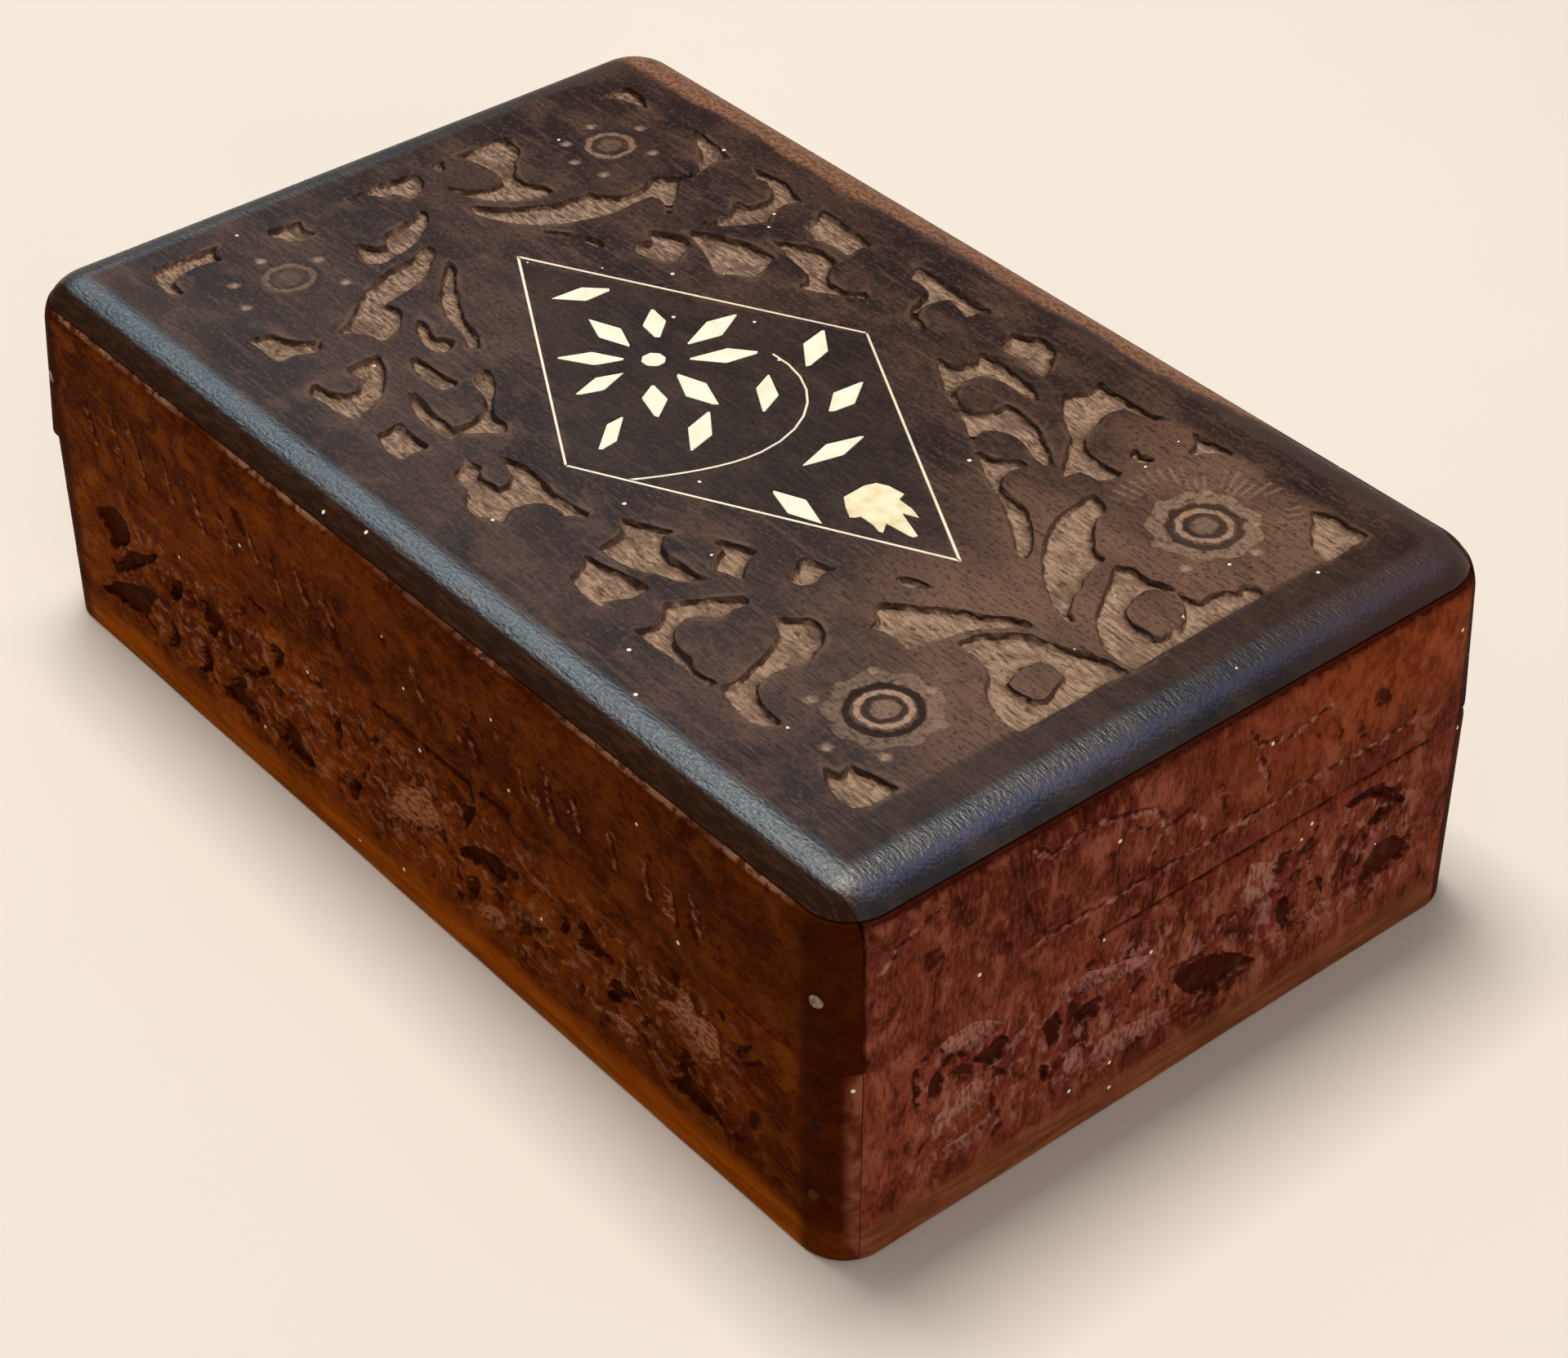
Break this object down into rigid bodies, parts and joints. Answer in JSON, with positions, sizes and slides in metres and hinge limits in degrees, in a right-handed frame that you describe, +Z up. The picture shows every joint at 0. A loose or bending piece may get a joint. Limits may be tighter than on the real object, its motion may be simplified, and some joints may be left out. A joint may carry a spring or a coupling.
{
  "type": "inlaid wooden box",
  "caption": "Small carved hardwood box with a hinged lid whose dark top is inlaid with bone leaves and brass wire in a lozenge.",
  "frame": {"origin": "centre of the closed box's underside, in the plane that it rests on", "axes": "+X along the long side, +Y towards the back where the hinges are, +Z up; the front is -Y"},
  "size_m": [0.152, 0.0958, 0.049],
  "materials": {
    "long_wall_wood": "carved, stained dark brown, waxed",
    "end_wall_wood": "carved, reddish brown, waxed, worn pale in places",
    "bottom_wood": "bare, planed",
    "ebonised_wood": "ebonised and polished, cut away to bare wood in the carving",
    "bone": "polished bone, satin",
    "brass_wire": "filed flush, soft polish",
    "hinge_brass": "dull, tarnished",
    "nail_brass": "filed flush, tarnished",
    "velvet": "short-pile velvet"
  },
  "bodies": {
    "base": {"base_front_wall": "long_wall_wood", "base_back_wall": "long_wall_wood", "base_left_wall": "end_wall_wood", "base_right_wall": "end_wall_wood", "base_bottom_panel": "bottom_wood", "base_lining": "velvet", "base_corner_nails": "nail_brass", "left_hinge_base_leaf": "hinge_brass", "left_hinge_pin": "hinge_brass", "left_hinge_base_screws": "hinge_brass", "right_hinge_base_leaf": "hinge_brass", "right_hinge_pin": "hinge_brass", "right_hinge_base_screws": "hinge_brass"},
    "lid": {"lid_front_wall": "long_wall_wood", "lid_back_wall": "long_wall_wood", "lid_left_wall": "end_wall_wood", "lid_right_wall": "end_wall_wood", "lid_top_panel": "ebonised_wood", "lid_corner_nails": "nail_brass", "left_hinge_lid_leaf": "hinge_brass", "left_hinge_lid_screws": "hinge_brass", "right_hinge_lid_leaf": "hinge_brass", "right_hinge_lid_screws": "hinge_brass", "border_wire_back_left": "brass_wire", "border_wire_back_right": "brass_wire", "border_wire_front_right": "brass_wire", "border_wire_front_left": "brass_wire", "stem_wire": "brass_wire", "flower_centre": "bone", "petal_1": "bone", "petal_2": "bone", "petal_3": "bone", "petal_4": "bone", "petal_5": "bone", "petal_6": "bone", "petal_7": "bone", "petal_8": "bone", "leaf_1": "bone", "leaf_2": "bone", "leaf_3": "bone", "leaf_4": "bone", "leaf_5": "bone", "leaf_6": "bone", "leaf_7": "bone", "leaf_8": "bone", "palm_leaf": "bone"}
  },
  "joints": [
    {"name": "lid_hinge", "type": "hinge", "parent": "base", "child": "lid", "pos_m": [0, 0.0467, 0.027], "axis": [-1, 0, 0], "range_deg": [0, 100]}
  ]
}
